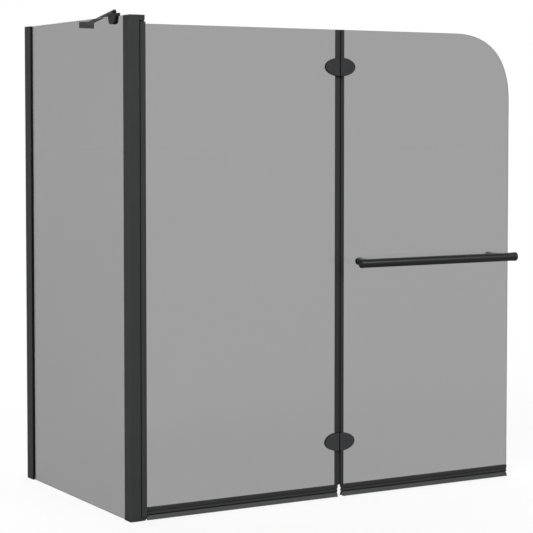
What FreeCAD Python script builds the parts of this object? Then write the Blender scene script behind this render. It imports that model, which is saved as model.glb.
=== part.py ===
# Folding two-leaf glass screen with a fixed side panel, for the corner of a bath.
# Origin: centre of the corner post's foot. +X runs along the folding leaves, +Y to the wall, +Z up.
import FreeCAD, Part
import math
import os

from FreeCAD import Vector

# Driving dimensions of the whole screen, in millimetres
screen_height = 1300.0
front_length = 1214.5
side_depth = 680.0
seam_distance = 638.3
post_width = 30.0
post_depth = 37.0
glass_thickness = 5.0
glass_arris = 0.6
leaf_setback = 10.0
side_setback = 5.5
leaf_top_drop = 22.0
seam_glass_gap = 9.0
fold_axis_offset = 2.3
cut_overrun = 2.0
parallel_share = 0.01

# Corner post and its ends
post_wall = 2.0
post_corner_radius = 1.6
post_rib = 2.0
post_pocket_depth = 15.0
glazing_strip = 1.2
glazing_web = 1.5
screw_port_radius = 3.2
screw_core_radius = 1.95
cap_height = 13.6
cap_chamfer = 1.2
cap_arm_reach = 15.0
cap_arm_depth = 20.0
cap_tongue_height = 9.0
tongue_clearance = 0.3
foot_height = 8.0
foot_screw_length = 18.0
cap_screw_length = 22.0
cap_screw_head_radius = 3.6
cap_screw_head_height = 2.2

# Soft strip in the post that brushes the round nose of the pivot stile
nose_strip_root_width = 4.4
nose_strip_root_depth = 1.6
nose_strip_neck_width = 2.0
nose_strip_lip_depth = 1.4
nose_strip_head_width = 3.6
nose_strip_head_depth = 0.7

# Pivot of leaf 1 in the cap and the foot
pivot_inset = 39.0
pivot_pin_radius = 3.0
pivot_running_gap = 0.05
bush_wall = 1.4
bush_length = 6.5
bush_flange_radius = 7.5
top_flange_height = 2.8
foot_flange_height = 1.2
pivot_end_play = 0.3
pin_bush_overlap_share = 0.9

# Pivot stile of leaf 1
stile_thickness = 16.0
stile_reach = 8.5
stile_pocket_depth = 7.0
stile_wall = 2.0
stile_web = 1.5
plug_head_height = 1.8
plug_chamfer = 1.2
plug_tongue_length = 14.0

# Bottom rail, its end cap and the soft drip lip under each leaf
rail_height = 32.0
rail_half_width = 5.5
rail_block_height = 9.0
rail_chamfer = 1.0
rail_neck_half_width = 2.6
rail_neck_height = 1.6
rail_bead_radius = 5.0
rail_grip = 7.5
rail_inset = 3.0
rail_end_gap = 0.5
rail_free_inset = 1.5
rail_end_cap_length = 7.0
lip_root_radius = 2.0
lip_neck_half_width = 0.8
lip_top_half_width = 3.2
lip_foot_half_width = 8.0
lip_wall = 1.5
lip_gap = 0.6

# Soft seals on the two glass edges at the seam
seal_leg = 11.8
seal_back_leg = 8.8
seal_wall = 1.2
seal_web = 1.2
seal_bulb_radius = 2.7
seal_bulb_wall = 1.0
fixed_seal_leg = 8.2

# Oval folding hinges
hinge_half_length = 47.5
hinge_half_height = 25.5
inner_half_length = 38.5
inner_half_height = 23.0
hinge_top_inset = 123.0
hinge_bottom_inset = 152.0
hinge_plate_thickness = 8.0
hinge_crown = 1.6
hinge_edge_round = 1.6
hinge_gasket = 1.5
hinge_gasket_inset = 0.4
hinge_split = 2.4
hinge_split_shift = 1.8
hinge_axis_set = 11.0
fold_face_gap = 1.0
knuckle_radius = 5.0
knuckle_clear = 0.5
knuckle_length = 14.0
knuckle_end_gap = 0.3
hinge_pin_radius = 3.0
hinge_running_gap = 0.05
hinge_pin_head_radius = 4.2
hinge_pin_head_height = 1.5
hinge_screw_offset = 25.0
hinge_screw_rise = 10.0
hinge_screw_radius = 2.5
hinge_screw_head_radius = 4.6
hinge_screw_head_height = 2.6
hinge_screw_bite = 4.5
hinge_glass_hole_radius = 4.5

# Rounded corner of leaf 2
corner_reach = 190.0
corner_fullness_share = 0.65

# Towel bar
bar_height = 645.0
bar_standoff = 70.0
bar_radius = 12.0
bar_wall = 1.5
bar_seam_inset = 22.7
bar_free_inset = 25.9
bar_cap_length = 10.0
bar_cap_radius = 12.5
bar_cap_round = 2.0
bar_spigot_length = 12.0
standoff_radius = 9.6
standoff_base_radius = 10.8
standoff_base_height = 5.0
standoff_base_round = 1.5
standoff_inset = 42.5
standoff_thread_depth = 14.0
bar_washer_radius = 10.0
bar_washer = 1.0
bar_bolt_radius = 4.0
bar_bolt_head_radius = 10.0
bar_bolt_head_height = 5.0
bar_bolt_head_round = 2.0
bar_glass_hole_radius = 6.0

# Profiles at the wall
channel_width = 17.6
channel_depth = 39.0
channel_wall = 1.6
channel_screw_radius = 2.5
channel_screw_inset = 125.0
channel_screw_count = 4
slide_gap = 0.2
profile_depth = 33.0
profile_proud = 1.0
profile_pocket_depth = 22.0
profile_floor = 2.0
profile_wall = 2.0
bath_side_setback = 14.5
channel_cap_height = 2.5
channel_cap_plug = 8.0
lock_screw_radius = 1.9
lock_screw_head_radius = 3.6
lock_screw_head_height = 1.8
lock_screw_rise = 60.0

# Stay from the side glass to the wall
clamp_from_front = 100.0
clamp_length = 42.5
clamp_foot_length = 30.0
clamp_thickness = 17.0
clamp_rise = 8.0
clamp_grip = 20.5
clamp_round = 13.0
clamp_edge_round = 1.2
clamp_pad = 1.0
clamp_pad_inset = 3.5
clamp_grub_radius = 2.5
clamp_grub_pitch = 18.0
clamp_grub_drop = 9.0
clamp_grub_proud = 0.6
stay_radius = 5.5
saddle_depth = 1.5
stay_tail = 7.0
stay_screw_radius = 2.0
stay_screw_head_radius = 3.4
stay_screw_head_height = 2.2
stay_screw_flat_depth = 1.5
stay_screw_bite = 5.0
bracket_distance = 192.7
bracket_length = 46.0
bracket_height = 19.0
bracket_drop = 1.5
bracket_plate = 5.0
bracket_corner = 1.5
bracket_edge_round = 1.0
bracket_socket_radius = 8.0
bracket_socket_length = 16.0
bracket_hole_pitch = 34.0
bracket_hole_radius = 2.25
bracket_sink_radius = 4.2
bracket_sink_depth = 2.0
socket_grub_radius = 2.0
socket_grub_setback = 8.0
hex_key_share = 0.5
hex_key_sides = 6

# Places worked out from the sizes above
outer_x = -post_width / 2
inner_x = post_width / 2
front_y = -post_depth / 2
back_y = post_depth / 2
wall_y = front_y + side_depth
leaf_y = front_y + leaf_setback
side_x = outer_x + side_setback
pivot_x = outer_x + pivot_inset
seam_x = outer_x + seam_distance
fold_x = seam_x - fold_axis_offset
fold_y = leaf_y + hinge_axis_set
free_x = outer_x + front_length
half_glass = glass_thickness / 2
leaf_top = screen_height - leaf_top_drop
leaf_front_y = leaf_y - half_glass
leaf_back_y = leaf_y + half_glass
leaf_1_edge = seam_x - seam_glass_gap / 2
leaf_2_edge = seam_x + seam_glass_gap / 2
post_top = screen_height - cap_height
pocket_half = half_glass + glazing_strip
post_pocket_y = back_y - post_pocket_depth
side_glass_start = post_pocket_y + glazing_web
bush_radius = pivot_pin_radius + pivot_running_gap + bush_wall
bush_bore = pivot_pin_radius + pivot_running_gap
stile_top = post_top - top_flange_height - pivot_end_play - plug_head_height
stile_bottom = foot_height + foot_flange_height + pivot_end_play + plug_head_height
stile_end_x = pivot_x + stile_reach
stile_pocket_x = stile_end_x - stile_pocket_depth
leaf_1_start = stile_pocket_x + glazing_web
rail_bottom_of_block = rail_height - rail_block_height
leaf_bottom = rail_height - rail_grip
bead_z = rail_bottom_of_block - rail_neck_height - rail_bead_radius
lip_top = bead_z - rail_bead_radius - lip_gap
plate_base = half_glass + hinge_gasket
hinge_heights = [hinge_bottom_inset, screen_height - hinge_top_inset]
profile_width = channel_width - 2 * channel_wall - 2 * slide_gap
channel_front_y = wall_y - channel_depth
profile_front_y = channel_front_y - profile_proud
profile_pocket_end = profile_front_y + profile_pocket_depth
profile_hollow_y = profile_pocket_end + profile_floor
profile_back_y = profile_front_y + profile_depth
side_glass_end = profile_pocket_end - glazing_web
channel_top = screen_height - channel_cap_height
channel_screw_pitch = (screen_height - 2 * channel_screw_inset) / (channel_screw_count - 1)
channel_screw_heights = [channel_screw_inset + channel_screw_pitch * number
                         for number in range(channel_screw_count)]
bar_y = leaf_front_y - bar_standoff
bar_from_x = seam_x + bar_seam_inset
bar_to_x = free_x - bar_free_inset
standoff_places = [bar_from_x + standoff_inset, bar_to_x - standoff_inset]
clamp_y = front_y + clamp_from_front
clamp_top = screen_height + clamp_rise
clamp_bottom = screen_height - clamp_grip
stay_z = clamp_top - saddle_depth + stay_radius
bracket_x = outer_x + bracket_distance
bracket_z = stay_z - bracket_drop

x_axis = Vector(1, 0, 0)
y_axis = Vector(0, 1, 0)
z_axis = Vector(0, 0, 1)


# Plain solids that the pieces are cut and joined from

def block(low, high):
    """Box between two opposite corners."""
    size = high - low
    return Part.makeBox(size.x, size.y, size.z, low)


def rod(radius, start, way, length):
    """Round bar from a point along a direction."""
    return Part.makeCylinder(radius, length, start, way)


def prism(points, sweep):
    """Closed outline with straight sides, swept along a vector."""
    outline = Part.makePolygon(points + [points[0]])
    return Part.Face(outline).extrude(sweep)


def joined(pieces):
    """Several touching solids as one clean solid."""
    return pieces[0].fuse(pieces[1:]).removeSplitter()


def edges_along(shape, way):
    """Straight edges of a shape that run along a direction."""
    found = []
    for edge in shape.Edges:
        run = edge.Vertexes[-1].Point - edge.Vertexes[0].Point
        if isinstance(edge.Curve, Part.Line) and run.cross(way).Length < edge.Length * parallel_share:
            found.append(edge)
    return found


def rounded_block(low, high, radius, way):
    """Box with its four edges along one direction rounded."""
    body = block(low, high)
    return body.makeFillet(radius, edges_along(body, way))


def edge_strip(edge_point, inward, leg, inner_half, wall, web, height):
    """U-shaped strip that wraps an upright glass edge; its legs point inward along the glass."""
    across = inward.cross(z_axis)
    outer_half = inner_half + wall
    profile = [(-web, -outer_half), (leg, -outer_half), (leg, -inner_half), (0, -inner_half),
               (0, inner_half), (leg, inner_half), (leg, outer_half), (-web, outer_half)]
    points = [edge_point + inward * along + across * side for along, side in profile]
    return prism(points, z_axis * height)


def hex_recess(centre, way, screw_radius):
    """Six-sided key socket to sink in a screw's end, running the way it is given."""
    across = x_axis if abs(way.z) > abs(way.x) else z_axis
    other = way.cross(across)
    reach = screw_radius * hex_key_share
    points = []
    for corner in range(hex_key_sides):
        turn = math.radians(corner * 360 / hex_key_sides)
        points.append(centre + across * (reach * math.cos(turn)) + other * (reach * math.sin(turn)))
    return prism(points, way * screw_radius * hex_key_share)


def sunk_form(head_centre, way, head_radius, head_height, shank_radius, length):
    """Countersunk head and shank, the shape of a screw and of the hole that it fills."""
    head = Part.makeCone(head_radius, shank_radius, head_height, head_centre, way)
    shank = rod(shank_radius, head_centre, way, length)
    return joined([head, shank])


def sunk_screw(head_centre, way, head_radius, head_height, shank_radius, length):
    """Countersunk screw with a key socket."""
    form = sunk_form(head_centre, way, head_radius, head_height, shank_radius, length)
    return form.cut(hex_recess(head_centre, way, head_radius))


# Corner post, its cap and foot

def screw_ports():
    """Centres of the two screw ports in the post, in plan."""
    reach = post_wall + screw_port_radius
    return [Vector(outer_x + reach, front_y + reach, 0), Vector(inner_x - reach, back_y - reach, 0)]


def chamber_limits():
    """Plan limits of the post's front and rear hollow chambers."""
    front = (outer_x + post_wall, front_y + post_wall, inner_x - post_wall, post_pocket_y - post_rib)
    rear = (side_x + pocket_half + post_rib, post_pocket_y, inner_x - post_wall, back_y - post_wall)
    return front, rear


def glass_pocket(low_z, high_z):
    """Slot in the post, its cap and its foot that takes the side glass."""
    low = Vector(side_x - pocket_half, post_pocket_y, low_z)
    high = Vector(side_x + pocket_half, back_y + cut_overrun, high_z)
    return block(low, high)


def nose_strip_groove():
    """Undercut groove along the post's face for the soft nose strip."""
    neck_low = Vector(inner_x - nose_strip_lip_depth, leaf_y - nose_strip_neck_width / 2, foot_height)
    neck_high = Vector(inner_x, leaf_y + nose_strip_neck_width / 2, post_top)
    root_x = inner_x - nose_strip_lip_depth - nose_strip_root_depth
    root_low = Vector(root_x, leaf_y - nose_strip_root_width / 2, foot_height)
    root_high = Vector(inner_x - nose_strip_lip_depth, leaf_y + nose_strip_root_width / 2, post_top)
    return joined([block(neck_low, neck_high), block(root_low, root_high)])


def corner_post():
    low = Vector(outer_x, front_y, foot_height)
    body = rounded_block(low, Vector(inner_x, back_y, post_top), post_corner_radius, z_axis)
    length = post_top - foot_height
    for x0, y0, x1, y1 in chamber_limits():
        body = body.cut(block(Vector(x0, y0, foot_height), Vector(x1, y1, post_top)))
    groove_depth = nose_strip_lip_depth + nose_strip_root_depth + post_wall
    boss_half = nose_strip_root_width / 2 + post_wall
    boss_low = Vector(inner_x - groove_depth, leaf_y - boss_half, foot_height)
    body = body.fuse(block(boss_low, Vector(inner_x, leaf_y + boss_half, post_top)))
    for port in screw_ports():
        start = Vector(port.x, port.y, foot_height)
        body = body.fuse(rod(screw_port_radius + post_wall / 2, start, z_axis, length))
        body = body.cut(rod(screw_core_radius, start, z_axis, length))
    body = body.cut(glass_pocket(foot_height, post_top))
    return body.cut(nose_strip_groove()).removeSplitter()


def post_nose_strip():
    head_low = Vector(inner_x, leaf_y - nose_strip_head_width / 2, foot_height)
    head_high = Vector(inner_x + nose_strip_head_depth, leaf_y + nose_strip_head_width / 2, post_top)
    return joined([nose_strip_groove(), block(head_low, head_high)])


def post_tongue(low_z, high_z):
    """Plug that locates the cap or the foot in the post's front chamber."""
    front = chamber_limits()[0]
    groove_depth = nose_strip_lip_depth + nose_strip_root_depth + post_wall
    port = screw_ports()[0]
    start_x = port.x + screw_port_radius + post_wall / 2 + tongue_clearance
    end_x = inner_x - groove_depth - tongue_clearance
    low = Vector(start_x, front[1] + tongue_clearance, low_z)
    return block(low, Vector(end_x, front[3] - tongue_clearance, high_z))


def post_cap():
    low = Vector(outer_x, front_y, post_top)
    head = block(low, Vector(inner_x, back_y, screen_height))
    arm_high = Vector(inner_x + cap_arm_reach, front_y + cap_arm_depth, screen_height)
    body = joined([head, block(Vector(inner_x - post_wall, front_y, post_top), arm_high)])
    body = body.makeFillet(post_corner_radius, edges_along(body, z_axis))
    rim = [edge for edge in body.Edges if edge.BoundBox.ZMin > screen_height - cap_chamfer]
    body = body.makeChamfer(cap_chamfer, rim)
    body = body.fuse(post_tongue(post_top - cap_tongue_height, post_top))
    body = body.cut(glass_pocket(post_top, screen_height))
    body = body.cut(rod(bush_radius, Vector(pivot_x, leaf_y, post_top), z_axis, bush_length))
    for port in screw_ports():
        top = Vector(port.x, port.y, screen_height)
        body = body.cut(sunk_form(top, -z_axis, cap_screw_head_radius, cap_screw_head_height,
                                  screw_core_radius, cap_height))
    return body.removeSplitter()


def post_foot():
    body = rounded_block(Vector(outer_x, front_y, 0), Vector(inner_x, back_y, foot_height),
                         post_corner_radius, z_axis)
    lug_radius = stile_thickness / 2
    lug_low = Vector(inner_x - post_wall, leaf_y - lug_radius, 0)
    lug = block(lug_low, Vector(pivot_x, leaf_y + lug_radius, foot_height))
    nose = rod(lug_radius, Vector(pivot_x, leaf_y, 0), z_axis, foot_height)
    body = body.fuse([lug, nose, post_tongue(foot_height, foot_height + cap_tongue_height)])
    body = body.cut(glass_pocket(0, foot_height))
    bush_start = Vector(pivot_x, leaf_y, foot_height - bush_length)
    body = body.cut(rod(bush_radius, bush_start, z_axis, bush_length))
    for port in screw_ports():
        base = Vector(port.x, port.y, 0)
        body = body.cut(sunk_form(base, z_axis, cap_screw_head_radius, cap_screw_head_height,
                                  screw_core_radius, foot_height))
    return body.removeSplitter()


def cap_screws():
    return [sunk_screw(Vector(port.x, port.y, screen_height), -z_axis, cap_screw_head_radius,
                       cap_screw_head_height, screw_core_radius, cap_screw_length)
            for port in screw_ports()]


def foot_screws():
    return [sunk_screw(Vector(port.x, port.y, 0), z_axis, cap_screw_head_radius,
                       cap_screw_head_height, screw_core_radius, foot_screw_length)
            for port in screw_ports()]


def flanged_bush(face_z, into, flange_height):
    """Bush pressed into a hole; its flange stands on the face that the hole opens from."""
    face = Vector(pivot_x, leaf_y, face_z)
    sleeve = rod(bush_radius, face, into, bush_length)
    flange = rod(bush_flange_radius, face, -into, flange_height)
    bore = rod(bush_bore, face - into * flange_height, into, bush_length + flange_height)
    return joined([sleeve, flange]).cut(bore)


def top_pivot_bush():
    return flanged_bush(post_top, z_axis, top_flange_height)


def foot_pivot_bush():
    return flanged_bush(foot_height, -z_axis, foot_flange_height)


# Side glass and the profiles that hold it

def side_glass():
    low = Vector(side_x - half_glass, side_glass_start, 0)
    pane = block(low, Vector(side_x + half_glass, side_glass_end, screen_height))
    return pane.makeChamfer(glass_arris, pane.Edges)


def post_glazing_strip():
    edge = Vector(side_x, side_glass_start, foot_height)
    leg = post_pocket_depth - glazing_web
    return edge_strip(edge, y_axis, leg, half_glass, glazing_strip, glazing_web, post_top - foot_height)


def bath_side_relief(low_z, high_z):
    """Room where the profiles' legs are cut back on the side towards the bath."""
    low = Vector(side_x + half_glass, profile_front_y - cut_overrun, low_z)
    return block(low, Vector(side_x + channel_width, profile_front_y + bath_side_setback, high_z))


def wall_glazing_strip():
    edge = Vector(side_x, side_glass_end, 0)
    leg = profile_pocket_depth - glazing_web
    strip = edge_strip(edge, -y_axis, leg, half_glass, glazing_strip, glazing_web, channel_top)
    return strip.cut(bath_side_relief(0, channel_top))


def lock_screw_holes():
    """Holes through the channel's and the profile's walls, on the side towards the bath."""
    start_x = side_x + profile_width / 2 - profile_wall
    reach = channel_width / 2 - profile_width / 2 + profile_wall
    place_y = (profile_hollow_y + profile_back_y) / 2
    return [rod(lock_screw_radius, Vector(start_x, place_y, height + lock_screw_rise), x_axis, reach)
            for height in channel_screw_heights]


def wall_channel():
    half = channel_width / 2
    inner = half - channel_wall
    body = block(Vector(side_x - half, channel_front_y, 0), Vector(side_x + half, wall_y, channel_top))
    hollow_low = Vector(side_x - inner, channel_front_y - cut_overrun, 0)
    body = body.cut(block(hollow_low, Vector(side_x + inner, wall_y - channel_wall, channel_top)))
    for height in channel_screw_heights:
        start = Vector(side_x, wall_y - channel_wall - cut_overrun, height)
        body = body.cut(rod(channel_screw_radius, start, y_axis, channel_wall + 2 * cut_overrun))
    return body.cut(lock_screw_holes()).cut(bath_side_relief(0, channel_top))


def side_glass_profile():
    half = profile_width / 2
    low = Vector(side_x - half, profile_front_y, 0)
    body = block(low, Vector(side_x + half, profile_back_y, channel_top))
    pocket_low = Vector(side_x - pocket_half, profile_front_y - cut_overrun, 0)
    body = body.cut(block(pocket_low, Vector(side_x + pocket_half, profile_pocket_end, channel_top)))
    inner = half - profile_wall
    hollow_low = Vector(side_x - inner, profile_hollow_y, 0)
    hollow_high = Vector(side_x + inner, profile_back_y + cut_overrun, channel_top)
    body = body.cut(block(hollow_low, hollow_high)).cut(lock_screw_holes())
    return body.cut(bath_side_relief(0, channel_top))


def profile_lock_screws():
    screws = []
    for hole in lock_screw_holes():
        reach = hole.BoundBox.XMax
        centre = Vector(reach, hole.BoundBox.Center.y, hole.BoundBox.Center.z)
        head = rod(lock_screw_head_radius, centre, x_axis, lock_screw_head_height)
        crown = centre + x_axis * lock_screw_head_height
        screws.append(joined([hole, head]).cut(hex_recess(crown, -x_axis, lock_screw_head_radius)))
    return screws


def wall_channel_cap():
    half = channel_width / 2
    low = Vector(side_x - half, profile_front_y, channel_top)
    lid = rounded_block(low, Vector(side_x + half, wall_y, screen_height), channel_wall, z_axis)
    slot_low = Vector(side_x - pocket_half, profile_front_y - cut_overrun, channel_top)
    lid = lid.cut(block(slot_low, Vector(side_x + pocket_half, profile_pocket_end, screen_height)))
    lid = lid.cut(bath_side_relief(channel_top, screen_height))
    inner = profile_width / 2 - profile_wall - tongue_clearance
    plug_low = Vector(side_x - inner, profile_hollow_y + tongue_clearance, channel_top - channel_cap_plug)
    plug_high = Vector(side_x + inner, wall_y - channel_wall - tongue_clearance, channel_top)
    return joined([lid, block(plug_low, plug_high)])


# Stay between the side glass and the wall

def stay_way():
    """Direction of the stay in plan, from the clamp to the wall bracket."""
    run = Vector(bracket_x - side_x, wall_y - clamp_y, 0)
    return run.normalize()


def stay_bar():
    way = stay_way()
    centre = Vector(side_x, clamp_y, stay_z)
    start = centre - way * stay_tail
    length = (wall_y - bracket_plate - clamp_y) / way.y + stay_tail - stay_radius
    body = rod(stay_radius, start, way, length)
    body = joined([body, Part.makeSphere(stay_radius, start)])
    flat = stay_z + stay_radius - stay_screw_flat_depth
    spot_radius = stay_screw_head_radius + tongue_clearance
    spot = rod(spot_radius, Vector(side_x, clamp_y, flat), z_axis, stay_screw_flat_depth + cut_overrun)
    hole = sunk_form(Vector(side_x, clamp_y, flat), -z_axis, stay_screw_head_radius,
                     stay_screw_head_height, stay_screw_radius, 2 * stay_radius)
    return body.cut(spot).cut(hole)


def stay_screw():
    flat = stay_z + stay_radius - stay_screw_flat_depth
    length = flat - clamp_top + stay_screw_bite
    return sunk_screw(Vector(side_x, clamp_y, flat), -z_axis, stay_screw_head_radius,
                      stay_screw_head_height, stay_screw_radius, length)


def grub_places():
    low_y = clamp_y - clamp_grub_pitch / 2
    height = screen_height - clamp_grub_drop
    return [Vector(side_x, low_y + clamp_grub_pitch * number, height) for number in range(2)]


def stay_glass_clamp():
    half = clamp_length / 2
    foot = clamp_foot_length / 2
    near_x = side_x - clamp_thickness / 2
    outline = [Vector(near_x, clamp_y - half, clamp_top), Vector(near_x, clamp_y + half, clamp_top),
               Vector(near_x, clamp_y + foot, clamp_bottom), Vector(near_x, clamp_y - foot, clamp_bottom)]
    body = prism(outline, x_axis * clamp_thickness)
    low_edges = [edge for edge in edges_along(body, x_axis)
                 if edge.Vertexes[0].Z < screen_height and edge.Length > glass_thickness]
    body = body.makeFillet(clamp_round, low_edges)
    rim = [edge for edge in body.Edges if edge.BoundBox.XLength < clamp_edge_round]
    body = body.makeFillet(clamp_edge_round, rim)
    slot_half = half_glass + clamp_pad
    slot_low = Vector(side_x - slot_half, clamp_y - clamp_length, clamp_bottom - cut_overrun)
    slot_high = Vector(side_x + slot_half, clamp_y + clamp_length, screen_height + clamp_pad)
    body = body.cut(block(slot_low, slot_high))
    way = stay_way()
    saddle = rod(stay_radius, Vector(side_x, clamp_y, stay_z) - way * clamp_length, way,
                 2 * clamp_length)
    body = body.cut(saddle)
    body = body.cut(rod(stay_screw_radius, Vector(side_x, clamp_y, clamp_top), -z_axis,
                        stay_screw_bite))
    for place in grub_places():
        body = body.cut(rod(clamp_grub_radius, place, x_axis, clamp_thickness))
    return body


def clamp_pad_lining():
    outer = half_glass + clamp_pad
    half = clamp_foot_length / 2 - clamp_pad_inset
    low_z = clamp_bottom + clamp_pad_inset
    lining = block(Vector(side_x - outer, clamp_y - half, low_z),
                   Vector(side_x + outer, clamp_y + half, screen_height + clamp_pad))
    gap = block(Vector(side_x - half_glass, clamp_y - half - cut_overrun, low_z - cut_overrun),
                Vector(side_x + half_glass, clamp_y + half + cut_overrun, screen_height))
    return lining.cut(gap)


def clamp_grub_screws():
    start = half_glass + clamp_pad
    length = clamp_thickness / 2 - start + clamp_grub_proud
    screws = []
    for place in grub_places():
        body = rod(clamp_grub_radius, place + x_axis * start, x_axis, length)
        end = place + x_axis * (start + length)
        screws.append(body.cut(hex_recess(end, -x_axis, clamp_grub_radius)))
    return screws


def socket_grub_place():
    """Point on the stay's axis under which the bracket's grub screw sits."""
    way = stay_way()
    end = Vector(bracket_x, wall_y, stay_z)
    return end - way * ((bracket_plate + socket_grub_setback) / way.y)


def stay_wall_bracket():
    half = bracket_length / 2
    low = Vector(bracket_x - half, wall_y - bracket_plate, bracket_z - bracket_height / 2)
    high = Vector(bracket_x + half, wall_y, bracket_z + bracket_height / 2)
    plate = rounded_block(low, high, bracket_corner, y_axis)
    rim = [edge for edge in plate.Edges if edge.BoundBox.YMax < wall_y - bracket_plate / 2]
    plate = plate.makeFillet(bracket_edge_round, rim)
    way = stay_way()
    anchor = Vector(bracket_x, wall_y, stay_z)
    mouth = anchor - way * ((bracket_plate + bracket_socket_length) / way.y)
    depth = (anchor - mouth).Length
    socket = rod(bracket_socket_radius, mouth, way, depth)
    beyond = block(Vector(bracket_x - bracket_length, wall_y - bracket_plate / 2, bracket_z - bracket_length),
                   Vector(bracket_x + bracket_length, wall_y + bracket_length, bracket_z + bracket_length))
    body = plate.fuse(socket.cut(beyond))
    bar_length = bracket_socket_length / way.y - stay_radius
    body = body.cut(rod(stay_radius, mouth, way, bar_length))
    for side in (-1, 1):
        face = Vector(bracket_x + side * bracket_hole_pitch / 2, wall_y - bracket_plate, bracket_z)
        body = body.cut(sunk_form(face, y_axis, bracket_sink_radius, bracket_sink_depth,
                                  bracket_hole_radius, bracket_plate))
    body = body.cut(rod(socket_grub_radius, socket_grub_place(), -z_axis, bracket_socket_radius))
    return body.removeSplitter()


def bracket_grub_screw():
    start = socket_grub_place() - z_axis * stay_radius
    length = bracket_socket_radius - stay_radius
    body = rod(socket_grub_radius, start, -z_axis, length)
    return body.cut(hex_recess(start - z_axis * length, z_axis, socket_grub_radius))


# Parts that both leaves have

def leaf_rail(start_x, end_x):
    """Clip profile under the glass: a slotted block, a neck and a bead with a bore for the lip's root."""
    run = x_axis * (end_x - start_x)
    shoulder = rail_height - rail_chamfer
    block_outline = [(-rail_half_width, rail_bottom_of_block), (rail_half_width, rail_bottom_of_block),
                     (rail_half_width, shoulder), (rail_half_width - rail_chamfer, rail_height),
                     (rail_chamfer - rail_half_width, rail_height), (-rail_half_width, shoulder)]
    points = [Vector(start_x, leaf_y + side, height) for side, height in block_outline]
    clip = prism(points, run)
    neck = block(Vector(start_x, leaf_y - rail_neck_half_width, bead_z),
                 Vector(end_x, leaf_y + rail_neck_half_width, rail_bottom_of_block))
    bead = rod(rail_bead_radius, Vector(start_x, leaf_y, bead_z), x_axis, end_x - start_x)
    body = joined([clip, neck, bead])
    glass_slot = block(Vector(start_x, leaf_front_y, leaf_bottom),
                       Vector(end_x, leaf_back_y, rail_height + cut_overrun))
    root = rod(lip_root_radius, Vector(start_x, leaf_y, bead_z), x_axis, end_x - start_x)
    mouth = block(Vector(start_x, leaf_y - lip_neck_half_width, bead_z - rail_bead_radius - cut_overrun),
                  Vector(end_x, leaf_y + lip_neck_half_width, bead_z))
    return body.cut([glass_slot, root, mouth])


def drip_lip(start_x, end_x):
    """Soft lip hung in the rail's bead: a round root and two blades that flare to the rim."""
    length = end_x - start_x
    root = rod(lip_root_radius, Vector(start_x, leaf_y, bead_z), x_axis, length)
    neck = block(Vector(start_x, leaf_y - lip_neck_half_width, lip_top - lip_wall),
                 Vector(end_x, leaf_y + lip_neck_half_width, bead_z))
    outline = [(-lip_top_half_width, lip_top), (lip_top_half_width, lip_top), (lip_foot_half_width, 0),
               (lip_foot_half_width - lip_wall, 0), (lip_top_half_width - lip_wall, lip_top - lip_wall),
               (lip_wall - lip_top_half_width, lip_top - lip_wall), (lip_wall - lip_foot_half_width, 0),
               (-lip_foot_half_width, 0)]
    points = [Vector(start_x, leaf_y + side, height) for side, height in outline]
    return joined([root, neck, prism(points, x_axis * length)])


def hinge_screw_places(side):
    """Centres of a leaf's hinge screws in the plane of the glass; side is -1 for leaf 1, 1 for leaf 2."""
    x = fold_x + side * hinge_screw_offset
    return [Vector(x, leaf_y, height + rise) for height in hinge_heights
            for rise in (-hinge_screw_rise, hinge_screw_rise)]


def oval_slab(low_y, high_y, height, half_length, half_height):
    """Upright oval plate around the fold line."""
    outline = Part.Ellipse(Vector(0, 0, 0), half_length, half_height)
    face = Part.Face(Part.Wire(outline.toShape()))
    slab = face.extrude(z_axis * (high_y - low_y))
    slab.rotate(Vector(0, 0, 0), x_axis, 90)
    slab.translate(Vector(fold_x, high_y, height))
    return slab


def kept_side(side, start, low_y, high_y, height):
    """Block that keeps one leaf's half of an oval plate, from a distance off the fold line."""
    near = fold_x + side * start
    far = fold_x + side * (hinge_half_length + cut_overrun)
    half = hinge_half_height + cut_overrun
    low = Vector(min(near, far), low_y - cut_overrun, height - half)
    return block(low, Vector(max(near, far), high_y + cut_overrun, height + half))


def outer_hinge_plates(side):
    base_y = leaf_y - plate_base
    front = base_y - hinge_plate_thickness
    crown_radius = (hinge_half_length ** 2 + hinge_crown ** 2) / (2 * hinge_crown)
    start = hinge_split / 2 - side * hinge_split_shift
    plates = []
    for height in hinge_heights:
        plate = oval_slab(front, base_y, height, hinge_half_length, hinge_half_height)
        dome = Part.makeSphere(crown_radius, Vector(fold_x, front + crown_radius, height))
        plate = plate.common(dome)
        plate = plate.common(kept_side(side, start, front, base_y, height))
        rim = [edge for edge in plate.Edges if edge.BoundBox.YMax < base_y - hinge_plate_thickness / 2]
        plate = plate.makeFillet(hinge_edge_round, rim)
        for place in hinge_screw_places(side):
            mouth = Vector(place.x, base_y, place.z)
            plate = plate.cut(rod(hinge_screw_radius, mouth, -y_axis, hinge_screw_bite))
        plates.append(plate)
    return plates


def knuckle_spans(side):
    """Lower and upper ends of a leaf's knuckles, from the hinge's centre."""
    middle = knuckle_length / 2
    outer_start = middle + knuckle_end_gap
    if side > 0:
        return [(-middle, middle)]
    return [(-outer_start - knuckle_length, -outer_start), (outer_start, outer_start + knuckle_length)]


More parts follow.
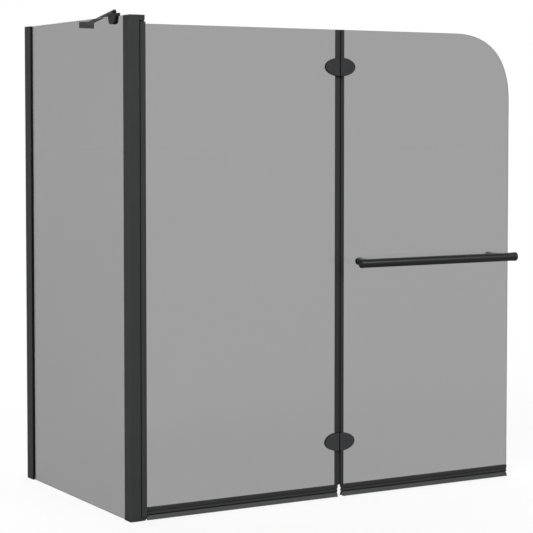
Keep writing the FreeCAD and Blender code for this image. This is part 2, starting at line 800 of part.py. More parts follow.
def inner_hinge_plates(side):
    base_y = leaf_y + plate_base
    back = fold_y - fold_face_gap / 2
    bore = hinge_pin_radius if side < 0 else hinge_pin_radius + hinge_running_gap
    start = knuckle_radius + knuckle_clear
    plates = []
    for height in hinge_heights:
        plate = oval_slab(base_y, back, height, inner_half_length, inner_half_height)
        plate = plate.common(kept_side(side, start, base_y, back, height))
        pieces = [plate]
        for low, high in knuckle_spans(side):
            near = fold_x + side * start
            web_low = Vector(min(near, fold_x), base_y, height + low)
            pieces.append(block(web_low, Vector(max(near, fold_x), back, height + high)))
            pieces.append(rod(knuckle_radius, Vector(fold_x, fold_y, height + low), z_axis, high - low))
        plate = joined(pieces)
        pin_way = Vector(fold_x, fold_y, height - hinge_half_height)
        plate = plate.cut(rod(bore, pin_way, z_axis, 2 * hinge_half_height))
        for place in hinge_screw_places(side):
            face = Vector(place.x, back, place.z)
            plate = plate.cut(sunk_form(face, -y_axis, hinge_screw_head_radius,
                                        hinge_screw_head_height, hinge_screw_radius, back - base_y))
        plates.append(plate)
    return plates


def hinge_gaskets(side, seal_reach):
    """Thin pads between the plates and the glass, cut back from the edge seal."""
    gaskets = []
    sides = [(leaf_y - plate_base, hinge_half_length, hinge_half_height),
             (leaf_back_y, inner_half_length, inner_half_height)]
    for height in hinge_heights:
        for low_y, half_length, half_height in sides:
            high_y = low_y + hinge_gasket
            pad = oval_slab(low_y, high_y, height, half_length - hinge_gasket_inset,
                            half_height - hinge_gasket_inset)
            pad = pad.common(kept_side(side, seal_reach, low_y, high_y, height))
            for place in hinge_screw_places(side):
                pad = pad.cut(rod(hinge_screw_radius, Vector(place.x, low_y, place.z), y_axis, hinge_gasket))
            gaskets.append(pad)
    return gaskets


def hinge_screws(side):
    back = fold_y - fold_face_gap / 2
    length = back - (leaf_y - plate_base) + hinge_screw_bite
    return [sunk_screw(Vector(place.x, back, place.z), -y_axis, hinge_screw_head_radius,
                       hinge_screw_head_height, hinge_screw_radius, length)
            for place in hinge_screw_places(side)]


def with_hinge_holes(pane, side):
    for place in hinge_screw_places(side):
        start = Vector(place.x, leaf_front_y - cut_overrun, place.z)
        pane = pane.cut(rod(hinge_glass_hole_radius, start, y_axis, glass_thickness + 2 * cut_overrun))
    return pane


# Leaf 1, between the post and the seam

def leaf_1_glass():
    low = Vector(leaf_1_start, leaf_front_y, leaf_bottom)
    pane = block(low, Vector(leaf_1_edge, leaf_back_y, leaf_top))
    pane = pane.makeChamfer(glass_arris, pane.Edges)
    return with_hinge_holes(pane, -1)


def stile_outline(low_z, high_z):
    """Solid outline of the stile: a round nose on the pivot axis and a flat body."""
    radius = stile_thickness / 2
    nose = rod(radius, Vector(pivot_x, leaf_y, low_z), z_axis, high_z - low_z)
    body = block(Vector(pivot_x, leaf_y - radius, low_z), Vector(stile_end_x, leaf_y + radius, high_z))
    return joined([nose, body])


def stile_chamber(low_z, high_z, inset):
    """Half-round hollow in the stile's nose; inset draws it in to make the plug's tongue."""
    radius = stile_thickness / 2 - stile_wall - inset
    barrel = rod(radius, Vector(pivot_x, leaf_y, low_z), z_axis, high_z - low_z)
    keep_end = stile_pocket_x - stile_web - inset
    low = Vector(pivot_x - stile_thickness, leaf_y - stile_thickness, low_z)
    return barrel.common(block(low, Vector(keep_end, leaf_y + stile_thickness, high_z)))


def leaf_1_stile():
    body = stile_outline(stile_bottom, stile_top)
    pocket = block(Vector(stile_pocket_x, leaf_y - pocket_half, stile_bottom),
                   Vector(stile_end_x + cut_overrun, leaf_y + pocket_half, stile_top))
    return body.cut([pocket, stile_chamber(stile_bottom, stile_top, 0)])


def leaf_1_stile_strip():
    edge = Vector(leaf_1_start, leaf_y, leaf_bottom)
    leg = stile_pocket_depth - glazing_web
    return edge_strip(edge, x_axis, leg, half_glass, glazing_strip, glazing_web, leaf_top - leaf_bottom)


def pivot_plug(end_z, outward):
    """Cast plug in the stile's end: a tongue in the nose, a head, and the pivot pin."""
    head_end = end_z + outward * plug_head_height
    head = stile_outline(min(end_z, head_end), max(end_z, head_end))
    rim = [edge for edge in head.Edges
           if abs(edge.BoundBox.Center.z - head_end) < plug_head_height / 4
           and edge.BoundBox.XMin > stile_end_x - plug_chamfer]
    head = head.makeChamfer(plug_chamfer, rim)
    tongue_end = end_z - outward * plug_tongue_length
    tongue = stile_chamber(min(end_z, tongue_end), max(end_z, tongue_end), slide_gap)
    flange = top_flange_height if outward > 0 else foot_flange_height
    pin_length = pivot_end_play + flange + bush_length * pin_bush_overlap_share
    pin = rod(pivot_pin_radius, Vector(pivot_x, leaf_y, head_end), z_axis * outward, pin_length)
    return joined([head, tongue, pin])


def leaf_1_pivot_plugs():
    return [pivot_plug(stile_bottom, -1), pivot_plug(stile_top, 1)]


def leaf_1_span():
    """Ends of leaf 1's rail and lip along X."""
    return stile_end_x + rail_end_gap, leaf_1_edge - rail_inset


def leaf_1_edge_seal():
    height = leaf_top - rail_height
    edge = Vector(leaf_1_edge, leaf_y, rail_height)
    clip = edge_strip(edge, -x_axis, seal_leg, half_glass, seal_wall, seal_web, height)
    bulb_x = leaf_1_edge + seal_web / 2 + seal_bulb_radius
    bulb = rod(seal_bulb_radius, Vector(bulb_x, leaf_y, rail_height), z_axis, height)
    hollow = rod(seal_bulb_radius - seal_bulb_wall, Vector(bulb_x, leaf_y, rail_height), z_axis, height)
    trimmed_tip = block(Vector(leaf_1_edge - seal_leg, leaf_back_y, rail_height),
                        Vector(leaf_1_edge - seal_back_leg, leaf_back_y + seal_wall, leaf_top))
    return joined([clip, bulb]).cut([hollow, trimmed_tip])


# Leaf 2, beyond the seam

def leaf_2_glass():
    """Pane with one large rounded corner at its free upper edge."""
    handle = corner_reach * corner_fullness_share
    start = Vector(free_x, leaf_front_y, leaf_top - corner_reach)
    end = Vector(free_x - corner_reach, leaf_front_y, leaf_top)
    corner = Part.BezierCurve()
    corner.setPoles([start, start + z_axis * handle, end + x_axis * handle, end])
    low_near = Vector(leaf_2_edge, leaf_front_y, leaf_bottom)
    low_free = Vector(free_x, leaf_front_y, leaf_bottom)
    high_near = Vector(leaf_2_edge, leaf_front_y, leaf_top)
    sides = [Part.makeLine(low_near, low_free), Part.makeLine(low_free, start), corner.toShape(),
             Part.makeLine(end, high_near), Part.makeLine(high_near, low_near)]
    pane = Part.Face(Part.Wire(sides)).extrude(y_axis * glass_thickness)
    pane = pane.makeChamfer(glass_arris, pane.Edges)
    pane = with_hinge_holes(pane, 1)
    for place_x in standoff_places:
        start = Vector(place_x, leaf_front_y - cut_overrun, bar_height)
        hole = rod(bar_glass_hole_radius, start, y_axis, glass_thickness + 2 * cut_overrun)
        pane = pane.cut(hole)
    return pane


def leaf_2_span():
    """Ends of leaf 2's rail and lip along X."""
    return leaf_2_edge + rail_inset, free_x - rail_free_inset - rail_end_cap_length


def leaf_2_rail_end_cap():
    """Moulded cap that closes the rail's free end and hides its hollow."""
    start = leaf_2_span()[1]
    end = start + rail_end_cap_length
    body = leaf_rail(start, end)
    filler = rod(lip_root_radius, Vector(start, leaf_y, bead_z), x_axis, rail_end_cap_length)
    mouth = block(Vector(start, leaf_y - lip_neck_half_width, lip_top),
                  Vector(end, leaf_y + lip_neck_half_width, bead_z))
    outline = [(-lip_top_half_width, lip_top), (lip_top_half_width, lip_top),
               (lip_foot_half_width, 0), (-lip_foot_half_width, 0)]
    points = [Vector(start, leaf_y + side, height) for side, height in outline]
    return joined([body, filler, mouth, prism(points, x_axis * rail_end_cap_length)])


def leaf_2_edge_seal():
    edge = Vector(leaf_2_edge, leaf_y, rail_height)
    return edge_strip(edge, x_axis, fixed_seal_leg, half_glass, seal_wall, seal_web,
                      leaf_top - rail_height)


def fold_hinge_pins():
    half = knuckle_length / 2 + knuckle_end_gap + knuckle_length
    pins = []
    for height in hinge_heights:
        foot = Vector(fold_x, fold_y, height - half)
        shaft = rod(hinge_pin_radius, foot, z_axis, 2 * half)
        low_head = rod(hinge_pin_head_radius, foot, -z_axis, hinge_pin_head_height)
        high_head = rod(hinge_pin_head_radius, foot + z_axis * (2 * half), z_axis, hinge_pin_head_height)
        pins.append(joined([shaft, low_head, high_head]))
    return pins


# Towel bar on leaf 2

def towel_bar():
    start_x = bar_from_x + bar_cap_length
    length = bar_to_x - bar_cap_length - start_x
    start = Vector(start_x, bar_y, bar_height)
    return rod(bar_radius, start, x_axis, length).cut(rod(bar_radius - bar_wall, start, x_axis, length))


def towel_bar_end_caps():
    caps = []
    for end_x, way in ((bar_from_x, x_axis), (bar_to_x, -x_axis)):
        centre = Vector(end_x, bar_y, bar_height)
        disc = rod(bar_cap_radius, centre, way, bar_cap_length)
        rim = [edge for edge in disc.Edges
               if isinstance(edge.Curve, Part.Circle) and abs(edge.BoundBox.Center.x - end_x) < bar_cap_round]
        disc = disc.makeFillet(bar_cap_round, rim)
        spigot = rod(bar_radius - bar_wall, centre + way * bar_cap_length, way, bar_spigot_length)
        caps.append(joined([disc, spigot]))
    return caps


def towel_bar_standoffs():
    base_y = leaf_front_y - bar_washer
    posts = []
    for place_x in standoff_places:
        foot = Vector(place_x, base_y, bar_height)
        neck = rod(standoff_radius, foot, -y_axis, base_y - bar_y)
        base = rod(standoff_base_radius, foot, -y_axis, standoff_base_height)
        rim = [edge for edge in base.Edges if edge.BoundBox.YMax < base_y - standoff_base_height / 2]
        base = base.makeFillet(standoff_base_round, rim)
        across = rod(bar_radius, Vector(place_x - bar_standoff, bar_y, bar_height), x_axis, 2 * bar_standoff)
        thread = rod(bar_bolt_radius, foot, -y_axis, standoff_thread_depth)
        posts.append(joined([neck, base]).cut([across, thread]))
    return posts


def towel_bar_washers():
    washers = []
    for place_x in standoff_places:
        for start_y in (leaf_front_y - bar_washer, leaf_back_y):
            centre = Vector(place_x, start_y, bar_height)
            ring = rod(bar_washer_radius, centre, y_axis, bar_washer)
            washers.append(ring.cut(rod(bar_bolt_radius, centre, y_axis, bar_washer)))
    return washers


def towel_bar_bolts():
    seat_y = leaf_back_y + bar_washer
    bolts = []
    for place_x in standoff_places:
        seat = Vector(place_x, seat_y, bar_height)
        length = seat_y - leaf_front_y + bar_washer + standoff_thread_depth
        shank = rod(bar_bolt_radius, seat, -y_axis, length)
        head = rod(bar_bolt_head_radius, seat, y_axis, bar_bolt_head_height)
        crown = [edge for edge in head.Edges if edge.BoundBox.YMin > seat_y + bar_bolt_head_height / 2]
        head = head.makeFillet(bar_bolt_head_round, crown)
        face = seat + y_axis * bar_bolt_head_height
        bolts.append(joined([shank, head]).cut(hex_recess(face, -y_axis, bar_bolt_radius)))
    return bolts


# Every node with the solid or solids in it

nodes = {
    "wall_channel": wall_channel(),
    "wall_channel_cap": wall_channel_cap(),
    "side_glass_profile": side_glass_profile(),
    "profile_lock_screws": profile_lock_screws(),
    "wall_glazing_strip": wall_glazing_strip(),
    "side_glass": side_glass(),
    "post_glazing_strip": post_glazing_strip(),
    "corner_post": corner_post(),
    "post_nose_strip": post_nose_strip(),
    "post_cap": post_cap(),
    "post_cap_screws": cap_screws(),
    "post_foot": post_foot(),
    "post_foot_screws": foot_screws(),
    "top_pivot_bush": top_pivot_bush(),
    "foot_pivot_bush": foot_pivot_bush(),
    "stay_bar": stay_bar(),
    "stay_screw": stay_screw(),
    "stay_glass_clamp": stay_glass_clamp(),
    "clamp_pad_lining": clamp_pad_lining(),
    "clamp_grub_screws": clamp_grub_screws(),
    "stay_wall_bracket": stay_wall_bracket(),
    "bracket_grub_screw": bracket_grub_screw(),
    "leaf_1_glass": leaf_1_glass(),
    "leaf_1_stile": leaf_1_stile(),
    "leaf_1_stile_strip": leaf_1_stile_strip(),
    "leaf_1_pivot_plugs": leaf_1_pivot_plugs(),
    "leaf_1_rail": leaf_rail(*leaf_1_span()),
    "leaf_1_drip_lip": drip_lip(*leaf_1_span()),
    "leaf_1_edge_seal": leaf_1_edge_seal(),
    "leaf_1_outer_hinge_plates": outer_hinge_plates(-1),
    "leaf_1_inner_hinge_plates": inner_hinge_plates(-1),
    "leaf_1_hinge_gaskets": hinge_gaskets(-1, fold_x - leaf_1_edge + seal_leg),
    "leaf_1_hinge_screws": hinge_screws(-1),
    "fold_hinge_pins": fold_hinge_pins(),
    "leaf_2_glass": leaf_2_glass(),
    "leaf_2_rail": leaf_rail(*leaf_2_span()),
    "leaf_2_rail_end_cap": leaf_2_rail_end_cap(),
    "leaf_2_drip_lip": drip_lip(*leaf_2_span()),
    "leaf_2_edge_seal": leaf_2_edge_seal(),
    "leaf_2_outer_hinge_plates": outer_hinge_plates(1),
    "leaf_2_inner_hinge_plates": inner_hinge_plates(1),
    "leaf_2_hinge_gaskets": hinge_gaskets(1, leaf_2_edge + fixed_seal_leg - fold_x),
    "leaf_2_hinge_screws": hinge_screws(1),
    "towel_bar": towel_bar(),
    "towel_bar_end_caps": towel_bar_end_caps(),
    "towel_bar_standoffs": towel_bar_standoffs(),
    "towel_bar_washers": towel_bar_washers(),
    "towel_bar_bolts": towel_bar_bolts(),
}

os.makedirs("parts", exist_ok=True)
for name, shape in nodes.items():
    if isinstance(shape, list):
        shape = Part.makeCompound(shape)
    shape.exportStep("parts/" + name + ".step")
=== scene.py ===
import math

import bmesh
import bpy
from mathutils import Matrix, Vector


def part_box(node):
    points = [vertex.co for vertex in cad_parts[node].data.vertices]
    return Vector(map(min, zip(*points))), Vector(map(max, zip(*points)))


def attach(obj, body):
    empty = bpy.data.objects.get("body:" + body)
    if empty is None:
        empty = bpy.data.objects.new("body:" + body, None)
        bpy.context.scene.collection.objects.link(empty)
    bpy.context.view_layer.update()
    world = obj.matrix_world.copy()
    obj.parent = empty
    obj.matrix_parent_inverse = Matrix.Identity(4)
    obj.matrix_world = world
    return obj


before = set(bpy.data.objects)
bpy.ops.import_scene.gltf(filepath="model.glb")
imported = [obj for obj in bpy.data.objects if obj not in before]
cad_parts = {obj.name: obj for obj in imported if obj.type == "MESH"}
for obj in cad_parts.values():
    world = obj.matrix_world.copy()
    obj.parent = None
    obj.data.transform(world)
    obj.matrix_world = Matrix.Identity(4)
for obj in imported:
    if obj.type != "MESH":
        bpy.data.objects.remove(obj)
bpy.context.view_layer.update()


# The wall channel is an extruded aluminium U, powder coated near black and screwed to the wall.
# Its cap is a thin moulding that closes the top. The coat is fine grained, with a little
# unevenness in tone and gloss that shows only from close by.

tone_spread = 0.12
gloss_spread = 0.08
relief_strength = 0.6
grain_detail = 3
patches_per_metre = 14
patch_detail = 2
colour_a, colour_b, mixed_colour = 6, 7, 2  # sockets of a Mix node that mixes colours


def opaque_finish(name, tone, roughness, grain, depth, stretch=(1, 1, 1), shine=0.4, metallic=0):
    """Solid surface: grain is the size of its texture and depth the height, in metres."""
    finish = bpy.data.materials.new(name)
    finish.use_nodes = True
    nodes, links = finish.node_tree.nodes, finish.node_tree.links
    shader = nodes["Principled BSDF"]
    shader.inputs["Specular IOR Level"].default_value = shine
    shader.inputs["Metallic"].default_value = metallic
    place = nodes.new("ShaderNodeTexCoord")
    stretched = nodes.new("ShaderNodeMapping")
    stretched.inputs["Scale"].default_value = stretch
    links.new(place.outputs["Object"], stretched.inputs["Vector"])

    texture = nodes.new("ShaderNodeTexNoise")
    texture.inputs["Scale"].default_value = 1 / grain
    texture.inputs["Detail"].default_value = grain_detail
    links.new(stretched.outputs["Vector"], texture.inputs["Vector"])

    patches = nodes.new("ShaderNodeTexNoise")
    patches.inputs["Scale"].default_value = patches_per_metre
    patches.inputs["Detail"].default_value = patch_detail
    links.new(stretched.outputs["Vector"], patches.inputs["Vector"])

    colour = nodes.new("ShaderNodeMix")
    colour.data_type = "RGBA"
    colour.inputs[colour_a].default_value = [(1 - tone_spread) * part for part in tone] + [1]
    colour.inputs[colour_b].default_value = [(1 + tone_spread) * part for part in tone] + [1]
    links.new(patches.outputs["Fac"], colour.inputs["Factor"])
    links.new(colour.outputs[mixed_colour], shader.inputs["Base Color"])

    gloss = nodes.new("ShaderNodeMapRange")
    gloss.inputs["To Min"].default_value = roughness - gloss_spread
    gloss.inputs["To Max"].default_value = roughness + gloss_spread
    links.new(texture.outputs["Fac"], gloss.inputs["Value"])
    links.new(gloss.outputs["Result"], shader.inputs["Roughness"])

    relief = nodes.new("ShaderNodeBump")
    relief.inputs["Strength"].default_value = relief_strength
    relief.inputs["Distance"].default_value = depth
    links.new(texture.outputs["Fac"], relief.inputs["Height"])
    links.new(relief.outputs["Normal"], shader.inputs["Normal"])
    return finish


def dress(finish, *names):
    """Gives CAD nodes their finish."""
    for name in names:
        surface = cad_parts[name].data.materials
        surface.clear()
        surface.append(finish)


powder_coat = opaque_finish("powder coat", tone=(0.034, 0.035, 0.0355), roughness=0.46,
                            grain=0.0009, depth=0.00003, shine=0.25)
dress(powder_coat, "wall_channel")

moulded_black = opaque_finish("moulded black plastic", tone=(0.022, 0.0225, 0.0235),
                              roughness=0.5, grain=0.0006, depth=0.00004)
dress(moulded_black, "wall_channel_cap")


# The profile that slides in the wall channel holds the glass. It is anodised instead of coated,
# so it is a deeper, smoother black with faint lines along its length. The screws that lock it
# are blackened steel with a key socket.

anodised_black = opaque_finish("black anodised profile", tone=(0.006, 0.006, 0.0065),
                               roughness=0.42, grain=0.0012, depth=0.00001,
                               stretch=(1, 1, 0.02), shine=0.08)
dress(anodised_black, "side_glass_profile")

black_steel = opaque_finish("blackened steel", tone=(0.018, 0.018, 0.019), roughness=0.38,
                            grain=0.0005, depth=0.00001, metallic=0.4)
dress(black_steel, "profile_lock_screws")


# The side panel is a pane of grey-tinted safety glass with ground arrises. Soft black strips
# grip it in the channel's profile and in the corner post's pocket.

glass_ior = 1.5
melt_waves_per_metre = 1.4
melt_detail = 1
melt_spread = 0.006
smoked_tint = 0.364


def clear_finish(name, tint):
    """Polished glass or plastic; tint is the share of light that its body lets through."""
    finish = bpy.data.materials.new(name)
    finish.use_nodes = True
    nodes, links = finish.node_tree.nodes, finish.node_tree.links
    shader = nodes["Principled BSDF"]
    shader.inputs["Transmission Weight"].default_value = 1
    shader.inputs["IOR"].default_value = glass_ior
    shader.inputs["Roughness"].default_value = 0
    place = nodes.new("ShaderNodeTexCoord")
    melt = nodes.new("ShaderNodeTexNoise")
    melt.inputs["Scale"].default_value = melt_waves_per_metre
    melt.inputs["Detail"].default_value = melt_detail
    links.new(place.outputs["Object"], melt.inputs["Vector"])
    colour = nodes.new("ShaderNodeMix")
    colour.data_type = "RGBA"
    colour.inputs[colour_a].default_value = [(1 - melt_spread) * tint] * 3 + [1]
    colour.inputs[colour_b].default_value = [(1 + melt_spread) * tint] * 3 + [1]
    links.new(melt.outputs["Fac"], colour.inputs["Factor"])
    links.new(colour.outputs[mixed_colour], shader.inputs["Base Color"])

    # A shadow ray meets two faces of a pane, so each face passes the square root of the tint.
    passed = nodes.new("ShaderNodeBsdfTransparent")
    through = math.sqrt(tint)
    passed.inputs["Color"].default_value = (through, through, through, 1)
    ray = nodes.new("ShaderNodeLightPath")
    either = nodes.new("ShaderNodeMixShader")
    links.new(ray.outputs["Is Shadow Ray"], either.inputs["Fac"])
    links.new(shader.outputs["BSDF"], either.inputs[1])
    links.new(passed.outputs["BSDF"], either.inputs[2])
    links.new(either.outputs["Shader"], nodes["Material Output"].inputs["Surface"])
    return finish


smoked_glass = clear_finish("smoked glass", smoked_tint)
dress(smoked_glass, "side_glass")

soft_black = opaque_finish("soft black rubber", tone=(0.012, 0.012, 0.0125), roughness=0.62,
                           grain=0.0008, depth=0.00002, shine=0.25)
dress(soft_black, "wall_glazing_strip", "post_glazing_strip")


# The corner post is an extruded box section with the same coat as the channel. A soft strip
# stands in its groove and brushes the round nose of the first leaf's stile.

dress(powder_coat, "corner_post")
dress(soft_black, "post_nose_strip")


# The post's cap and foot are mouldings, screwed into the post's ports with countersunk screws.
# The cap reaches over the leaf and carries its upper pivot; the foot carries the lower one.

dress(moulded_black, "post_cap", "post_foot")
dress(black_steel, "post_cap_screws", "post_foot_screws")


# Two flanged bushes of smooth black acetal are pressed into the cap and the foot. The pins of
# the first leaf turn in them.

acetal = opaque_finish("black acetal", tone=(0.014, 0.014, 0.014), roughness=0.34,
                       grain=0.002, depth=0.000005)
dress(acetal, "top_pivot_bush", "foot_pivot_bush")


# The stay is a round bar from a clamp on the side glass to a bracket on the wall. Bar, clamp
# and bracket have a satin black lacquer over smooth metal, and a soft lining grips the glass.
# Two small domed caps close the holes of the bracket's wall screws.

satin_lacquer = opaque_finish("satin black lacquer", tone=(0.039, 0.0392, 0.04),
                              roughness=0.42, grain=0.0016, depth=0.00001, shine=0.05)
dress(satin_lacquer, "stay_glass_clamp")

stay_lacquer = opaque_finish("stay lacquer", tone=(0.008, 0.0082, 0.0088), roughness=0.4,
                             grain=0.0016, depth=0.00001, shine=0.25)
dress(stay_lacquer, "stay_bar", "stay_wall_bracket")
dress(soft_black, "clamp_pad_lining")
dress(black_steel, "stay_screw", "clamp_grub_screws", "bracket_grub_screw")


def new_piece(name, form, finish):
    """Makes an object at the origin out of a finished bmesh."""
    mesh = bpy.data.meshes.new(name)
    form.to_mesh(mesh)
    form.free()
    mesh.materials.append(finish)
    piece = bpy.data.objects.new(name, mesh)
    bpy.context.collection.objects.link(piece)
    return piece


bracket_hole_pitch = 0.034
bracket_plate_thickness = 0.005
cap_radius = 0.0042
cap_crown = 0.0011
cap_dome = ((0, 1), (0.5, 0.88), (0.82, 0.5), (1, 0))  # shares of the radius and the crown
cap_neck_radius = 0.6 * cap_radius
cap_sink = 0.0016
cap_turn_steps = 48
weld_distance = 0.000001

bracket_low, bracket_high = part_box("stay_wall_bracket")
bracket_middle_x = (bracket_low[0] + bracket_high[0]) / 2
bracket_middle_z = (bracket_low[2] + bracket_high[2]) / 2
plate_front = bracket_high[1] - bracket_plate_thickness
cap_outline = [(out * cap_radius, rise * cap_crown) for out, rise in cap_dome]
cap_outline += [(cap_neck_radius, -cap_sink), (0, -cap_sink)]
caps_form = bmesh.new()
for side in (-1, 1):
    centre = Vector((bracket_middle_x + side * bracket_hole_pitch / 2, plate_front,
                     bracket_middle_z))
    points = [caps_form.verts.new(centre + Vector((out, -rise, 0))) for out, rise in cap_outline]
    edges = [caps_form.edges.new(pair) for pair in zip(points, points[1:])]
    bmesh.ops.spin(caps_form, geom=points + edges, cent=centre, axis=(0, 1, 0), angle=math.tau,
                   steps=cap_turn_steps, use_merge=True)
bmesh.ops.remove_doubles(caps_form, verts=caps_form.verts, dist=weld_distance)
bmesh.ops.recalc_face_normals(caps_form, faces=caps_form.faces)
caps = new_piece("bracket_screw_caps", caps_form, stay_lacquer)
caps.data.shade_smooth()
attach(caps, "frame")


# Leaf 1 is a tinted pane in a pivot stile, an extrusion with a round nose and the post's coat.
# A soft strip holds the pane in the stile's pocket, and a cast plug with a pin closes each end.

dress(smoked_glass, "leaf_1_glass")
dress(powder_coat, "leaf_1_stile")
dress(soft_black, "leaf_1_stile_strip")
dress(satin_lacquer, "leaf_1_pivot_plugs")


# Each leaf has an anodised clip rail under its glass, with the extrusion's fine lines along it,
# and a soft grey-black lip that hangs in the rail's bead and sweeps the bath's rim. A moulded
# cap closes the free end of leaf 2's rail.

rail_black = opaque_finish("black rail", tone=(0.033, 0.0333, 0.034), roughness=0.5,
                           grain=0.0008, depth=0.00002, stretch=(0.02, 1, 1), shine=0.12)
dress(rail_black, "leaf_1_rail", "leaf_2_rail")
dress(moulded_black, "leaf_2_rail_end_cap")

lip_vinyl = opaque_finish("drip lip vinyl", tone=(0.0385, 0.0392, 0.0405), roughness=0.5,
                          grain=0.0012, depth=0.00001, stretch=(0.03, 1, 1), shine=0.35)
dress(lip_vinyl, "leaf_1_drip_lip", "leaf_2_drip_lip")


# Extruded vinyl seals are pushed on both glass edges at the fold. Leaf 1's has a hollow bulb
# with a thin soft fin along it, which closes the gap when the leaves lie flat.

seal_vinyl = opaque_finish("edge seal vinyl", tone=(0.022, 0.0225, 0.023), roughness=0.45,
                           grain=0.0012, depth=0.00001, stretch=(1, 1, 0.03), shine=0.35)
dress(seal_vinyl, "leaf_1_edge_seal", "leaf_2_edge_seal")

fin_thickness = 0.0007
fin_root = 0.0003
fin_clearance = 0.0001
fin_softening = 0.0002
fin_bevel_segments = 2

bulb_low, bulb_high = [Vector(corner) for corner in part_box("leaf_1_edge_seal")]
facing_low = Vector(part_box("leaf_2_edge_seal")[0])
fin_start = bulb_high.x - fin_root
fin_end = facing_low.x - fin_clearance
fin_form = bmesh.new()
fin_place = Matrix.Translation(((fin_start + fin_end) / 2, (bulb_low.y + bulb_high.y) / 2,
                                (bulb_low.z + bulb_high.z) / 2))
fin_size = Matrix.Diagonal((fin_end - fin_start, fin_thickness, bulb_high.z - bulb_low.z, 1))
bmesh.ops.create_cube(fin_form, size=1, matrix=fin_place @ fin_size)
bmesh.ops.bevel(fin_form, geom=fin_form.edges[:], offset=fin_softening,
                segments=fin_bevel_segments, profile=0.5, material=-1, affect="EDGES")
bmesh.ops.recalc_face_normals(fin_form, faces=fin_form.faces)
fin = new_piece("leaf_1_seal_fin", fin_form, seal_vinyl)
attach(fin, "leaf_1")


# The two folding hinges are lacquered castings, with painted shade that makes their rims near
# black: an oval split in two on the outside, and half ovals with interleaved knuckles inside.
# Screws draw them together through soft gaskets, and a ground steel pin goes through the
# knuckles.

# Painted shade: where the surface turns away from the glass's face, on the rims, the colour goes
# over to near black.
rim_painted_shade_tone = (0.0015, 0.0015, 0.0016, 1)
painted_shade_until = 0.3  # share of the surface's direction that points straight out of the glass
face_from = 0.7

hinge_lacquer_and_rim_shade = opaque_finish("hinge lacquer and painted rim shade", tone=(0.0455, 0.0459, 0.0477), roughness=0.42,
                              grain=0.0016, depth=0.00001, shine=0.03)
hinge_nodes, hinge_links = hinge_lacquer_and_rim_shade.node_tree.nodes, hinge_lacquer_and_rim_shade.node_tree.links
hinge_shader = hinge_nodes["Principled BSDF"]
facing = hinge_nodes.new("ShaderNodeTexCoord")
turned = hinge_nodes.new("ShaderNodeSeparateXYZ")
hinge_links.new(facing.outputs["Normal"], turned.inputs["Vector"])
flatness = hinge_nodes.new("ShaderNodeMath")
flatness.operation = "ABSOLUTE"
hinge_links.new(turned.outputs["Y"], flatness.inputs[0])
painted_shade_to_face = hinge_nodes.new("ShaderNodeMapRange")
painted_shade_to_face.inputs["From Min"].default_value = painted_shade_until
painted_shade_to_face.inputs["From Max"].default_value = face_from
hinge_links.new(flatness.outputs[0], painted_shade_to_face.inputs["Value"])
# Mixes the painted shade of the rims into the lacquer's own colour.
rim = hinge_nodes.new("ShaderNodeMix")
rim.data_type = "RGBA"
rim.inputs[colour_a].default_value = rim_painted_shade_tone
hinge_links.new(painted_shade_to_face.outputs["Result"], rim.inputs["Factor"])
hinge_links.new(hinge_shader.inputs["Base Color"].links[0].from_socket, rim.inputs[colour_b])
hinge_links.new(rim.outputs[mixed_colour], hinge_shader.inputs["Base Color"])
dress(hinge_lacquer_and_rim_shade, "leaf_1_outer_hinge_plates", "leaf_1_inner_hinge_plates",
      "leaf_2_outer_hinge_plates", "leaf_2_inner_hinge_plates")

hinge_rubber = opaque_finish("hinge gasket rubber", tone=(0.003, 0.003, 0.0031), roughness=0.7,
                             grain=0.0008, depth=0.00002, shine=0.12)
dress(hinge_rubber, "leaf_1_hinge_gaskets", "leaf_2_hinge_gaskets")
dress(black_steel, "leaf_1_hinge_screws", "leaf_2_hinge_screws")

pin_steel = opaque_finish("ground pin steel", tone=(0.3, 0.3, 0.31), roughness=0.3,
                          grain=0.0006, depth=0.000005, stretch=(1, 1, 6), metallic=1)
dress(pin_steel, "fold_hinge_pins")


# Leaf 2 is one pane of the same tinted glass, with a large rounded corner at its free upper
# edge. The hinge plates hold it at the fold, and nothing frames its other edges but the rail.

dress(smoked_glass, "leaf_2_glass")


# The towel bar is a steel tube with turned end caps and standoffs, all with a smooth satin
# black coat. Clear washers keep the metal off the glass, and button-headed bolts hold it.

bar_black = opaque_finish("towel bar coat", tone=(0.015, 0.0154, 0.0158), roughness=0.27,
                          grain=0.0005, depth=0.000002, shine=0.45)
dress(bar_black, "towel_bar", "towel_bar_end_caps", "towel_bar_standoffs")
dress(black_steel, "towel_bar_bolts")

washer_tint = 0.85
clear_washer = clear_finish("clear washer", washer_tint)
dress(clear_washer, "towel_bar_washers")


# A plain pale floor and an even surround. Straight on and through glass both look white; in
# reflections they are grey, and the floor pales with distance so that no horizon shows in the
# glass. The floor keeps the soft shadow of the screen.

floor_size = 120
floor_drop = 0.0006
floor_shade = 0.2
floor_glow = 0.778
mirrored_near, mirrored_near_level = 1, 0.035
mirrored_far, mirrored_far_level = 20, 0.138
side_level = 0.34
top_level = 0.12
half_a_bounce = 0.5
number_a, number_b = 2, 3  # sockets of a Mix node that mixes numbers


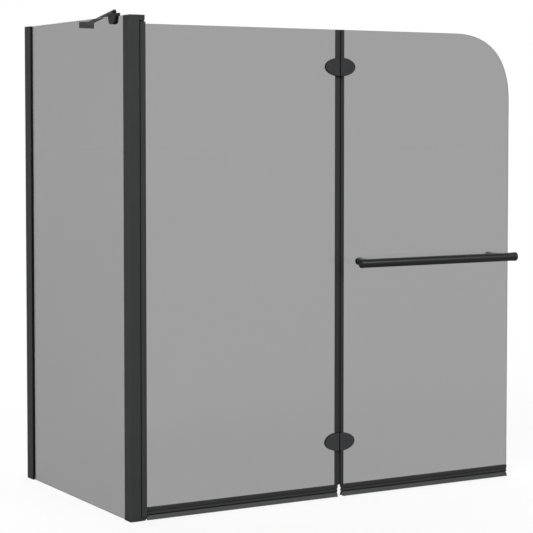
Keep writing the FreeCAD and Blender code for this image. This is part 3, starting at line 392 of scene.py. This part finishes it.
def white_when_seen(tree, unseen):
    """Strength that is 1 straight on or through glass, and unseen for every other ray."""
    ray = tree.nodes.new("ShaderNodeLightPath")
    direct = tree.nodes.new("ShaderNodeMath")
    direct.operation = "LESS_THAN"
    direct.inputs[1].default_value = half_a_bounce
    tree.links.new(ray.outputs["Glossy Depth"], direct.inputs[0])
    through = tree.nodes.new("ShaderNodeMath")
    through.operation = "MULTIPLY"
    tree.links.new(ray.outputs["Is Transmission Ray"], through.inputs[0])
    tree.links.new(direct.outputs[0], through.inputs[1])
    seen = tree.nodes.new("ShaderNodeMath")
    seen.operation = "MAXIMUM"
    tree.links.new(ray.outputs["Is Camera Ray"], seen.inputs[0])
    tree.links.new(through.outputs[0], seen.inputs[1])
    level = tree.nodes.new("ShaderNodeMix")
    level.inputs[number_b].default_value = 1
    tree.links.new(seen.outputs[0], level.inputs["Factor"])
    tree.links.new(unseen, level.inputs[number_a])
    return level.outputs[0]


floor_finish = bpy.data.materials.new("pale floor")
floor_finish.use_nodes = True
floor_tree = floor_finish.node_tree
floor_tree.nodes.remove(floor_tree.nodes["Principled BSDF"])
matt = floor_tree.nodes.new("ShaderNodeBsdfDiffuse")
matt.inputs["Color"].default_value = (floor_shade, floor_shade, floor_shade, 1)
spot = floor_tree.nodes.new("ShaderNodeTexCoord")
distance = floor_tree.nodes.new("ShaderNodeVectorMath")
distance.operation = "LENGTH"
floor_tree.links.new(spot.outputs["Object"], distance.inputs[0])
mirrored_level = floor_tree.nodes.new("ShaderNodeMapRange")
mirrored_level.inputs["From Min"].default_value = mirrored_near
mirrored_level.inputs["From Max"].default_value = mirrored_far
mirrored_level.inputs["To Min"].default_value = mirrored_near_level
mirrored_level.inputs["To Max"].default_value = mirrored_far_level
floor_tree.links.new(distance.outputs["Value"], mirrored_level.inputs["Value"])
ray = floor_tree.nodes.new("ShaderNodeLightPath")
mirrored = floor_tree.nodes.new("ShaderNodeMath")
mirrored.operation = "MULTIPLY"
floor_tree.links.new(ray.outputs["Is Glossy Ray"], mirrored.inputs[0])
floor_tree.links.new(mirrored_level.outputs["Result"], mirrored.inputs[1])
glow = floor_tree.nodes.new("ShaderNodeEmission")
glow.inputs["Color"].default_value = (floor_glow, floor_glow, floor_glow, 1)
floor_tree.links.new(white_when_seen(floor_tree, mirrored.outputs[0]), glow.inputs["Strength"])
both = floor_tree.nodes.new("ShaderNodeAddShader")
floor_tree.links.new(matt.outputs["BSDF"], both.inputs[0])
floor_tree.links.new(glow.outputs["Emission"], both.inputs[1])
floor_tree.links.new(both.outputs["Shader"],
                     floor_tree.nodes["Material Output"].inputs["Surface"])

floor_form = bmesh.new()
bmesh.ops.create_grid(floor_form, x_segments=1, y_segments=1, size=floor_size / 2,
                      matrix=Matrix.Translation((0, 0, -floor_drop)))
floor = new_piece("floor", floor_form, floor_finish)

world = bpy.data.worlds.new("surround")
bpy.context.scene.world = world
world.use_nodes = True
world_tree = world.node_tree
surround = world_tree.nodes["Background"]
surround.inputs["Color"].default_value = (1, 1, 1, 1)
way = world_tree.nodes.new("ShaderNodeTexCoord")
parts = world_tree.nodes.new("ShaderNodeSeparateXYZ")
world_tree.links.new(way.outputs["Generated"], parts.inputs["Vector"])
rise = world_tree.nodes.new("ShaderNodeMapRange")
rise.inputs["To Min"].default_value = side_level
rise.inputs["To Max"].default_value = top_level
world_tree.links.new(parts.outputs["Z"], rise.inputs["Value"])
world_tree.links.new(white_when_seen(world_tree, rise.outputs["Result"]),
                     surround.inputs["Strength"])


# Three wide, soft and distant lamps: the main one at the left front, a weaker one at the right
# front, and one behind. Angles are in degrees.

for name, azimuth, height, spread, power in (("front_left", -56, 28, 36, 2.65),
                                             ("front_right", 21, 25, 30, 1.05),
                                             ("behind", 165, 45, 60, 1.7)):
    light = bpy.data.lights.new(name, "SUN")
    light.energy = power
    light.angle = math.radians(spread)
    lamp = bpy.data.objects.new(name, light)
    lamp.rotation_euler = (math.radians(90 - height), 0, math.radians(azimuth))
    bpy.context.collection.objects.link(lamp)


# The camera stands at the photograph's viewing angle, just below the top of the screen, and
# looks slightly down. Its lens is long, and its small shift keeps the post nearly upright.

camera_place = (-1.9760, -4.0951, 1.0206)
camera_turn = 30.1047
camera_dip = 2.8568
camera_data = bpy.data.cameras.new("camera")
camera_data.sensor_width = 36
camera_data.lens = 119.8261
camera_data.shift_y = -0.10
camera = bpy.data.objects.new("camera", camera_data)
camera.location = camera_place
camera.rotation_euler = (math.radians(90 - camera_dip), 0, math.radians(-camera_turn))
bpy.context.collection.objects.link(camera)
bpy.context.scene.camera = camera
bpy.context.scene.view_settings.view_transform = "Standard"
